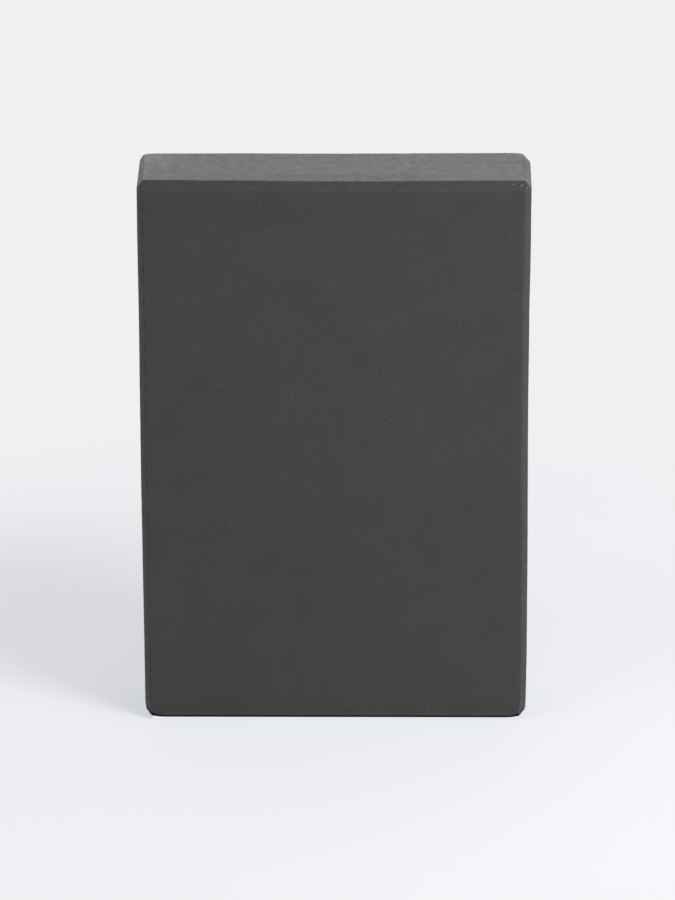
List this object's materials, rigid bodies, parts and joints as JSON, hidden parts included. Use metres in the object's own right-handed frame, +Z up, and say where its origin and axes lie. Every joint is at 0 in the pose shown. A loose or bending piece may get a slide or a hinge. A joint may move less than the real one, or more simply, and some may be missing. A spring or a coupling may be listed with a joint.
{
  "type": "pilates block",
  "caption": "Solid slab of firm closed-cell foam with bevelled edges, to sit, kneel or lie on or to raise a hand or head.",
  "frame": {"origin": "middle of the short end that the block stands on, on the surface that it rests on", "axes": "+Z up along the length, +X along the width to the right as seen from the front, +Y through the thickness from the front face to the back face"},
  "size_m": [0.205, 0.05, 0.305],
  "materials": {
    "foam": "matt charcoal closed-cell foam with a fine skived grain"
  },
  "bodies": {
    "root": {"foam_block": "foam"}
  },
  "joints": []
}
